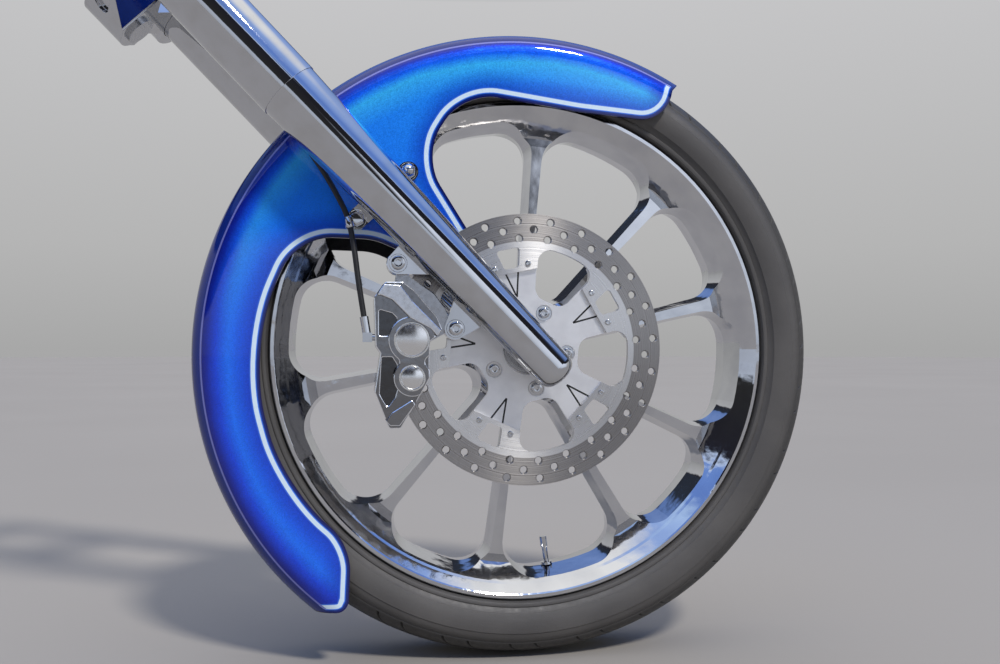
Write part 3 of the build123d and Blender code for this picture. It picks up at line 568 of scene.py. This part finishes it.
def edge_rounded(name, width, crease):
    """Copy of a CAD node with its sharp edges rounded to a narrow strip, which catches the light."""
    shape = merged_copy(name)
    sharp = [e for e in shape.edges if e.is_manifold and e.calc_face_angle() > math.radians(crease)]
    bmesh.ops.bevel(shape, geom=sharp, offset=width, offset_type="OFFSET", segments=2, profile=0.5,
                    affect="EDGES", clamp_overlap=True, material=-1)
    return shape


def replace_rounded(name, width, finish, crease=25):
    """Shows the edge-rounded copy in place of the CAD node."""
    body = frame["nodes"][name]["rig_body"]
    copy = new_piece(edge_rounded(name, width, crease), name + "_rounded", Matrix.Identity(4), [finish],
                     body, crease=80)
    weighted = copy.modifiers.new("even_shading", "WEIGHTED_NORMAL")
    weighted.keep_sharp = True
    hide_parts(name)


clamp_edge = 0.0008
replace_rounded("lower_clamp", clamp_edge, chrome)
replace_rounded("upper_clamp", clamp_edge, chrome)
rake = math.radians(44)
leg_y = 0.116
pinch_stations = (0.586, 0.606, 0.815)     # along the leg, from the axle
pinch_back = 0.0165          # from the leg's line to the heads' feet
pinch_out = 0.0398           # from the leg's line outwards
leg_place = Matrix.Translation((axle.x, 0, axle.z)) @ Matrix.Rotation(-rake, 4, "Y")
facing_back = Matrix.Rotation(math.radians(-90), 4, "Y")
pinch_places = []
for station in pinch_stations:
    for side in (-1, 1):
        foot = Matrix.Translation((-pinch_back, side * (leg_y + pinch_out), station))
        pinch_places.append(leg_place @ foot @ facing_back)
clamp_bolts = repeated(cap_screw(radius=0.0052, height=0.0085, socket=0.0025), pinch_places)
new_piece(clamp_bolts, "clamp_bolts", Matrix.Identity(4), [chrome], "fork")

# Fender
# One pressed steel shell over the back and top of the wheel, painted candy blue over a fine silver flake,
# under clear lacquer. One pinstripe runs round its side: white along its inner edge, and thin along its
# shoulder in a darker lavender that is painted shade. The blue is darker towards the shoulder and towards
# the white line, partly an airbrushed fade and partly painted shade. It is lighter towards the top, with a
# bright band in it, as painted light and a painted highlight. Its trimmed edge is painted dark as painted
# shade.
fender_middle = Vector((-0.001, -0.006, 0))
fender_reach = 0.366         # from its middle to the crown's outside
fender_wall = 0.069          # from the wheel's middle plane to a wall's outside
fender_bottom = 0.125        # radius where the walls end before they are trimmed
fender_sheet = 0.003
crown_drop = 0.004           # how much lower the crown's edges lie than its reach
crown_rise = 0.0004
shoulder_corner = (0.024, 10)              # cut back from the corner, number of steps
crown_corner = (0.040, 8)
sweep_start = math.radians(45)
sweep = math.radians(200)
trim_half_width = 0.09       # past both walls
fender_trim = (              # x forward, y up, corner radius
    (0.215, 0.341, 0.0),
    (0.170, 0.297, 0.006),
    (0.159, 0.260, 0.036),
    (0.060, 0.268, 0.250),
    (-0.072, 0.286, 0.060),
    (-0.117, 0.212, 0.060),
    (-0.058, 0.118, 0.016),
    (-0.104, 0.092, 0.024),
    (-0.170, 0.120, 0.060),
    (-0.252, 0.122, 0.056),
    (-0.304, 0.000, 0.220),
    (-0.264, -0.149, 0.200),
    (-0.193, -0.211, 0.060),
    (-0.196, -0.284, 0.014),
    (-0.280, -0.287, 0.0),
    (-0.440, -0.287, 0.0),
    (-0.440, 0.440, 0.0),
    (0.215, 0.440, 0.0),
)


def rounded_plate(outline):
    """A flat face with the corners of an (x, y, corner radius) table rounded."""
    shape = bmesh.new()
    corners = [shape.verts.new((x, y, 0)) for x, y, _ in outline]
    shape.faces.new(corners)
    spans = []
    for index, corner in enumerate(corners):
        before = (corners[index - 1].co - corner.co).normalized()
        after = (corners[(index + 1) % len(corners)].co - corner.co).normalized()
        half_turn = (math.pi - before.angle(after)) / 2
        spans.append(outline[index][2] * math.tan(half_turn))
    for corner, span in zip(corners, spans):
        if span > 0:
            bmesh.ops.bevel(shape, geom=[corner], offset=span, offset_type="OFFSET", segments=12,
                            profile=0.5, affect="VERTICES", clamp_overlap=False, material=-1)
    return shape


trim_prism = rounded_plate(fender_trim)
raised_by(trim_prism, -trim_half_width)
raised = bmesh.ops.extrude_face_region(trim_prism, geom=trim_prism.faces[:], use_keep_orig=False)["geom"]
bmesh.ops.translate(trim_prism, verts=only_verts(raised), vec=(0, 0, 2 * trim_half_width))
bmesh.ops.recalc_face_normals(trim_prism, faces=trim_prism.faces)
trim_walls = trim_prism.copy()
bmesh.ops.delete(trim_walls, geom=[f for f in trim_walls.faces if abs(f.normal.z) > 0.5], context="FACES")
trim_tree = BVHTree.FromBMesh(trim_walls)
trim_walls.free()

fender = bmesh.new()
section = [fender.verts.new((fender_bottom, 0, fender_wall)),
           fender.verts.new((fender_reach - crown_drop, 0, fender_wall)),
           fender.verts.new((fender_reach + crown_rise, 0, 0)),
           fender.verts.new((fender_reach - crown_drop, 0, -fender_wall)),
           fender.verts.new((fender_bottom, 0, -fender_wall))]
fender.faces.new(section)
for corner, (span, steps) in zip(section[1:4], (shoulder_corner, crown_corner, shoulder_corner)):
    bmesh.ops.bevel(fender, geom=[corner], offset=span, offset_type="OFFSET", segments=steps, profile=0.5,
                    affect="VERTICES", clamp_overlap=False, material=-1)
across = [e for e in fender.edges if max(v.co.x for v in e.verts) < fender_bottom + 0.001]
bmesh.ops.delete(fender, geom=fender.faces[:], context="FACES_ONLY")
bmesh.ops.delete(fender, geom=across, context="EDGES")
walls = [e for e in fender.edges if e.calc_length() > 0.15]
bmesh.ops.subdivide_edges(fender, edges=walls, cuts=34)
bmesh.ops.rotate(fender, verts=fender.verts, cent=(0, 0, 0), matrix=Matrix.Rotation(sweep_start, 3, "Z"))
bmesh.ops.spin(fender, geom=fender.verts[:] + fender.edges[:], axis=(0, 0, 1), cent=(0, 0, 0), angle=sweep,
               steps=230, use_duplicate=False)
bmesh.ops.translate(fender, verts=fender.verts, vec=fender_middle)
bmesh.ops.recalc_face_normals(fender, faces=fender.faces)
crown_face = max(fender.faces, key=lambda f: (f.calc_center_median() - fender_middle).xy.length)
if crown_face.normal.dot(crown_face.calc_center_median() - fender_middle) < 0:
    bmesh.ops.reverse_faces(fender, faces=fender.faces)
bmesh.ops.solidify(fender, geom=fender.faces[:], thickness=fender_sheet)
for face in fender.faces:
    centre = face.calc_center_median() - fender_middle
    outward = centre.xy.normalized().to_3d()
    outward.z = centre.z * 4
    face.material_index = 0 if face.normal.dot(outward) > 0 else 1


def as_object(shape, name):
    mesh = bpy.data.meshes.new(name)
    shape.to_mesh(mesh)
    shape.free()
    made = bpy.data.objects.new(name, mesh)
    bpy.context.scene.collection.objects.link(made)
    return made


shell = as_object(fender, "fender_shell")
cutter = as_object(trim_prism, "fender_cutter")
trimming = shell.modifiers.new("trim", "BOOLEAN")
trimming.operation = "INTERSECT"
trimming.solver = "EXACT"
trimming.object = cutter
bpy.context.view_layer.update()
trimmed = bpy.data.meshes.new_from_object(shell.evaluated_get(bpy.context.evaluated_depsgraph_get()))
bpy.data.objects.remove(shell)
bpy.data.objects.remove(cutter)
fender = bmesh.new()
fender.from_mesh(trimmed)
bpy.data.meshes.remove(trimmed)
bmesh.ops.dissolve_degenerate(fender, dist=1e-6, edges=fender.edges)
line_radius = 0.352          # of the thin pinstripe along the shoulder
from_edge = fender.verts.layers.float.new("from_edge")
from_line = fender.verts.layers.float.new("from_line")
for vert in fender.verts:
    vert[from_edge] = trim_tree.find_nearest(vert.co)[3]
    vert[from_line] = line_radius - (vert.co - fender_middle).xy.length


def vector_calc(tree, operation, inputs):
    return node(tree, "VectorMath", inputs, operation=operation).outputs[0]


def ended(tree, value, end, softness):
    """One up to an end and nothing beyond it, with a soft step between."""
    return spread(tree, value, end - softness, end + softness, 1.0, 0.0)


candy, tree, shader, place = new_finish("candy_blue_lacquer", (0.01, 0.09, 0.62), 0.3, 0.34)
edge_gap = node(tree, "Attribute", attribute_name="from_edge").outputs["Fac"]
line_gap = node(tree, "Attribute", attribute_name="from_line").outputs["Fac"]
white_start = 0.0048         # from the trimmed edge
white_width = 0.0048
shoulder_line_width = 0.0019
edge_shade_width = 0.0015
shade_reach = 0.050          # how far inside the shoulder's line the shading goes
flake_tilt = 0.13
white_paint = (0.72, 0.88, 1.00)
stripe_painted_shade = (0.20, 0.22, 0.60)
blue_beside_white = (0.030, 0.180, 0.850)
blue_inside_white = (0.007, 0.034, 0.520)
blue_outside_lines = (0.005, 0.022, 0.200)
edge_painted_shade = (0.006, 0.008, 0.090)
inside_white = calc(tree, "SUBTRACT", edge_gap, white_start)
flakes = node(tree, "TexVoronoi", {"Vector": place, "Scale": 1150.0}).outputs["Color"]
flake_light = node(tree, "SeparateColor", {0: flakes}).outputs[0]
mist = calc(tree, "MULTIPLY", calc(tree, "SUBTRACT", grain(tree, place, 30), 0.5), 0.006)
from_shoulder = spread(tree, calc(tree, "ADD", line_gap, mist), 0.0, shade_reach)
# Darker towards the shoulder: partly an airbrushed fade, partly painted shade.
field = tone_bands(tree, from_shoulder, (
    (0.00, (0.005, 0.010, 0.180)),
    (0.14, (0.006, 0.022, 0.360)),
    (0.34, (0.008, 0.064, 0.720)),
    (0.60, (0.012, 0.180, 1.000)),
    (0.90, (0.010, 0.140, 0.980)),
))
# Lighter towards the top as painted light from above, with a brighter band in it as a painted highlight.
standing = node(tree, "SeparateXYZ", {0: place}).outputs[2]
towards_top = spread(tree, standing, axle.z + 0.02, axle.z + 0.27)
painted_top_light_field = tone_bands(tree, from_shoulder, (
    (0.00, (0.006, 0.012, 0.200)),
    (0.12, (0.007, 0.030, 0.420)),
    (0.28, (0.010, 0.140, 0.960)),
    (0.48, (0.045, 0.500, 1.000)),
    (0.68, (0.035, 0.400, 1.000)),
    (1.00, (0.018, 0.270, 1.000)),
))
field = blend_colours(tree, towards_top, field, painted_top_light_field)
# Darker blue inside the white line: partly an airbrushed fade, partly painted shade.
near_white = spread(tree, calc(tree, "ADD", inside_white, mist), white_width, white_width + 0.022, 0.75, 0.0)
field = blend_colours(tree, near_white, field, blue_inside_white)
sparkle = spread(tree, flake_light, 0.0, 1.0, 0.90, 1.16)
sparkle = node(tree, "CombineXYZ", {0: sparkle, 1: sparkle, 2: sparkle}).outputs[0]
field = vector_calc(tree, "MULTIPLY", {0: field, 1: sparkle})
outside = ended(tree, calc(tree, "MINIMUM", inside_white, line_gap), 0.0, 0.0004)
colour = blend_colours(tree, outside, field, blue_outside_lines)
beside_line = spread(tree, line_gap, -0.0004, 0.0004)
halo = calc(tree, "MULTIPLY", spread(tree, inside_white, -0.0016, -0.0006),
            ended(tree, inside_white, white_width + 0.0012, 0.0006))
colour = blend_colours(tree, calc(tree, "MULTIPLY", halo, beside_line), colour, blue_beside_white)
white = calc(tree, "MULTIPLY", spread(tree, inside_white, -0.0002, 0.0003),
             ended(tree, inside_white, white_width, 0.0003))
white = calc(tree, "MULTIPLY", white, beside_line)
colour = blend_colours(tree, white, colour, white_paint)
# The pinstripe along the shoulder is given a darker lavender than the white one, as painted shade.
shoulder_line = calc(tree, "MULTIPLY", spread(tree, line_gap, -0.0002, 0.0003),
              ended(tree, line_gap, shoulder_line_width, 0.0003))
shoulder_line = calc(tree, "MULTIPLY", shoulder_line, spread(tree, inside_white, 0.0, 0.0004))
colour = blend_colours(tree, shoulder_line, colour, stripe_painted_shade)
# A narrow near black strip along the trimmed edge, painted shade of the edge's inner return.
colour = blend_colours(tree, ended(tree, edge_gap, edge_shade_width, 0.0005), colour, edge_painted_shade)
tree.links.new(colour, shader.inputs["Base Color"])
bare_field = calc(tree, "MULTIPLY", calc(tree, "SUBTRACT", 1.0, white), calc(tree, "SUBTRACT", 1.0, outside))
tree.links.new(calc(tree, "MULTIPLY", bare_field, 0.3), shader.inputs["Metallic"])
shader.inputs["Specular IOR Level"].default_value = 0.0
flat_normal = node(tree, "NewGeometry").outputs["Normal"]
tilt = vector_calc(tree, "SUBTRACT", {0: flakes, 1: (0.5, 0.5, 0.5)})
tilt = vector_calc(tree, "SCALE", {0: tilt, "Scale": flake_tilt})
leaning = vector_calc(tree, "ADD", {0: flat_normal, 1: tilt})
tree.links.new(vector_calc(tree, "NORMALIZE", {0: leaning}), shader.inputs["Normal"])
shader.inputs["Coat Weight"].default_value = 1.0
shader.inputs["Coat Roughness"].default_value = 0.02
underseal, tree, shader, place = new_finish("underseal_black", (0.012, 0.012, 0.014), 0, 0.6)
raise_surface(tree, shader, grain(tree, place, 400, 4), 0.0006, 0.7)
vary_gloss(tree, shader, grain(tree, place, 90), 0.3, 0.7, 0.45, 0.8)
fender = new_piece(fender, "fender_painted", wheel_place, [candy, underseal], "fork", crease=40)
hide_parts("fender")

# Fender brackets and their fasteners
# Plated steel bars across the inner side of each leg. A hexagon bolt holds the fender at the rear and
# a domed nut at the front, each on a washer.
dress(chrome, "fender_bracket_left", "fender_bracket_right")
bracket_face = 0.082         # from the wheel's middle plane
rear_bolt = (-0.1878, 0.1398)              # forward, up, from the axle
front_bolt = (-0.1331, 0.1926)
rear_washer = (0.0100, 0.0040, 0.0016)     # outside, inside, thickness
front_washer = (0.0096, 0.0040, 0.0016)
rear_head = (0.0078, 0.0055)               # radius, height
front_nut = (0.0080, 0.0120)
boss_profile = ((0.0052, 0.0), (0.0050, 0.0003), (0.0, 0.0006))


def hexagon_head(radius, height):
    """Six-sided head standing on the XY plane, with its upper edges rounded."""
    shape = bmesh.new()
    bmesh.ops.create_cone(shape, cap_ends=True, segments=6, radius1=radius, radius2=radius, depth=height,
                          matrix=Matrix.Translation((0, 0, height / 2)))
    rim = [e for e in shape.edges if min(v.co.z for v in e.verts) > 0.9 * height]
    bmesh.ops.bevel(shape, geom=rim, offset=0.12 * radius, offset_type="OFFSET", segments=3, profile=0.5,
                    affect="EDGES", material=-1)
    return shape


def domed_nut(radius, height):
    """Hexagon for the lower 45% of the height, with a dome on it."""
    dome = [(0.84 * radius * math.cos(a), 0.45 * height + 0.55 * height * math.sin(a))
            for a in (math.radians(step * 15) for step in range(7))]
    return joined(hexagon_head(radius, 0.45 * height), turned(dome, 32))


def both_sides(x, y, height):
    """Places at (x, y) on the right and the left side, facing outwards."""
    return [Matrix.Translation((x, y, height)),
            Matrix.Translation((x, y, -height)) @ Matrix.Rotation(math.pi, 4, "X")]


rear_heads = joined(washer(*rear_washer), raised_by(hexagon_head(*rear_head), rear_washer[2]),
                    raised_by(turned(boss_profile, 24), rear_washer[2] + rear_head[1]))
rear_heads = repeated(rear_heads, both_sides(*rear_bolt, bracket_face))
new_piece(rear_heads, "fender_bolts", wheel_place, [chrome], "fork")
front_nuts = joined(washer(*front_washer), raised_by(domed_nut(*front_nut), front_washer[2]))
front_nuts = repeated(front_nuts, both_sides(*front_bolt, bracket_face))
new_piece(front_nuts, "fender_nuts", wheel_place, [chrome], "fork")

# Caliper
# Four-piston caliper milled in steps from aluminium and polished, with bright chamfers along its edges and
# domed caps over its outer pistons. Two socket bolts hold it to the leg's lugs.
caliper_levels = (           # distance of a level from the wheel's middle plane, tone
    (0.0960, 0.40),
    # the pockets' floors, nearly black as painted shade
    (0.1010, 0.10),
    (0.1080, 0.24),
    (0.1120, 0.28),
    (0.1160, 0.66),
)
side_tone = 0.36             # of the walls between two levels
edge_highlight_tone = 0.90             # painted highlight on the rounded edge just under a level
edge_width = 0.0009
level_range = (0.094, 0.117)
caliper_polish, tree, shader, place = new_finish("caliper_polish", (0.50, 0.51, 0.54), 1, 0.14)
vary_gloss(tree, shader, grain(tree, place, 240, 4), 0.35, 0.70, 0.07, 0.20)
raise_surface(tree, shader, grain(tree, place, 60, 2), 0.0008, 0.3)
# Each level gets its tone, with a painted highlight band just under its edge.
tones = []
for level, tone in caliper_levels:
    tones += [(level - 1.3 * edge_width, side_tone), (level - 0.9 * edge_width, edge_highlight_tone),
              (level - 0.3 * edge_width, edge_highlight_tone), (level - 0.0001, tone), (level + 0.0002, tone)]
tone_places = [(level - level_range[0]) / (level_range[1] - level_range[0]) for level, _ in tones]
tone_colours = [(0.98 * tone, 0.99 * tone, 1.03 * tone) for _, tone in tones]
depth = calc(tree, "MULTIPLY", node(tree, "SeparateXYZ", {0: place}).outputs[1], -1.0)
caliper_tones = tone_bands(tree, spread(tree, depth, *level_range), list(zip(tone_places, tone_colours)))
tree.links.new(caliper_tones, shader.inputs["Base Color"])
edge_polish, tree, shader, place = new_finish("caliper_edge_polish", (0.86, 0.88, 0.92), 1, 0.16)
vary_gloss(tree, shader, grain(tree, place, 300, 3), 0.3, 0.7, 0.12, 0.26)
raise_surface(tree, shader, grain(tree, place, 60, 2), 0.0003, 0.3)


def edges_chamfered(name, outward, width, fall):
    """Copy of a CAD node. Its faces that look outward get a narrow chamfer, in the second finish, along
    each edge that stands free."""
    shape = merged_copy(name)
    flats = [f for f in shape.faces if f.normal.dot(outward) > 0.999]
    flats = bmesh.ops.triangulate(shape, faces=flats)["faces"]
    strips = bmesh.ops.inset_region(shape, faces=flats, use_boundary=True, use_even_offset=True,
                                    thickness=width, depth=0.0)["faces"]
    level_faces = set(flats) | set(strips)
    free, joined_on = set(), set()
    for strip in strips:
        for edge in strip.edges:
            if all(face in level_faces for face in edge.link_faces):
                continue
            if edge.is_convex:
                free.update(edge.verts)
                strip.material_index = 1
            else:
                joined_on.update(edge.verts)
    waiting = dict.fromkeys(flats)
    while waiting:
        level = dict.fromkeys([next(iter(waiting))])
        front = list(level)
        while front:
            beside = [f for e in front.pop().edges for f in e.link_faces if f in waiting and f not in level]
            level.update(dict.fromkeys(beside))
            front += beside
        for face in level:
            del waiting[face]
        rims = [e for f in level for e in f.edges if sum(near in level for near in e.link_faces) == 1]
        bmesh.ops.delete(shape, geom=list(level), context="FACES")
        bmesh.ops.triangle_fill(shape, edges=rims, use_beauty=True, normal=outward)
    for vert in free - joined_on:
        vert.co -= fall * outward
    return shape


chamfer_width = 0.0008
chamfer_fall = 0.0004
caliper_outer = edges_chamfered("caliper_outer", Vector((0, -1, 0)), chamfer_width, chamfer_fall)
caliper_outer = new_piece(caliper_outer, "caliper_outer_chamfered", Matrix.Identity(4),
                          [caliper_polish, edge_polish], "fork", crease=20)
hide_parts("caliper_outer")
replace_rounded("caliper_inner", edge_width, caliper_polish)
cap_finish, tree, shader, place = new_finish("turned_cap_aluminium", (0.80, 0.80, 0.79), 1, 0.24)
vary_gloss(tree, shader, grain(tree, place, 320, 4), 0.3, 0.7, 0.16, 0.24)
raise_surface(tree, shader, grain(tree, place, 90, 2), 0.0001, 0.2)
land_face = 0.112
pistons = ((-0.1305, 0.0100, 0.0190), (-0.1300, -0.0300, 0.0140))      # forward, up, radius
cap_rim = ((0.0, 0.0), (0.0, 0.0010), (0.0006, 0.0016), (0.0014, 0.0016), (0.0020, 0.0006))      # inward, up
dome_start = (0.0026, 0.0006)
cap_rise = 0.0030
dome_steps = 7
domes = []
for forward, up, radius in pistons:
    dome = [(radius - inward, height) for inward, height in cap_rim]
    for step in range(dome_steps + 1):
        out = (radius - dome_start[0]) * (1 - step / dome_steps)
        dome.append((out, dome_start[1] + (cap_rise - dome_start[1]) * (1 - (out / radius) ** 2)))
    domes.append(repeated(turned(dome, 48), [Matrix.Translation((forward, up, land_face))]))
domed_caps = new_piece(joined(*domes), "piston_caps_domed", wheel_place, [cap_finish], "fork")
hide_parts("piston_caps")
lug_face = 0.105
lug_places = [Matrix.Translation((-0.145, 0.091, lug_face)), Matrix.Translation((-0.084, 0.022, lug_face))]
lug_bolts = repeated(bolt_on_washer((0.0098, 0.0050, 0.0018), (0.0073, 0.0078, 0.0034)), lug_places)
new_piece(lug_bolts, "caliper_bolts", wheel_place, [chrome], "fork")
lining_dark = (0.10, 0.09, 0.08)
lining_pale = (0.30, 0.27, 0.24)
lining, tree, shader, place = new_finish("sintered_lining", (0.16, 0.15, 0.14), 0.3, 0.7)
lining_tone = spread(tree, grain(tree, place, 700, 5), 0.35, 0.7)
tree.links.new(blend_colours(tree, lining_tone, lining_dark, lining_pale), shader.inputs["Base Color"])
raise_surface(tree, shader, grain(tree, place, 900, 4), 0.0004, 0.6)
dress(lining, "brake_pads")

# Brake hose
# Black covered hose from the block under the lower clamp to the plated elbow on the caliper. A plated
# clip sits round it beside the fender's rear bolt.
cover, tree, shader, place = new_finish("hose_cover", (0.018, 0.018, 0.019), 0, 0.42)
raise_surface(tree, shader, grain(tree, place, 1200, 2), 0.0002, 0.5)
vary_gloss(tree, shader, grain(tree, place, 120), 0.3, 0.7, 0.34, 0.52)
dress(cover, "brake_hose")
fitting_edge = 0.0008
replace_rounded("hose_elbow", fitting_edge, chrome, crease=40)
replace_rounded("hose_union", fitting_edge, chrome)
clip_foot = Vector((-0.1911, 0.1101, 0.098))
clip_head = Vector((-0.1976, 0.1428, 0.090))
clip_profile = (             # radius, place along the hose
    (0.0032, -0.0065),
    (0.0042, -0.0058),
    (0.0046, -0.0050),
    (0.0046, 0.0050),
    (0.0042, 0.0058),
    (0.0032, 0.0065),
)
clip_along = (clip_head - clip_foot).to_track_quat("Z", "Y").to_matrix().to_4x4()
clip_place = Matrix.Translation(clip_head.lerp(clip_foot, 0.25)) @ clip_along
new_piece(turned(clip_profile, 28), "hose_clip", wheel_place @ clip_place, [chrome], "fork")
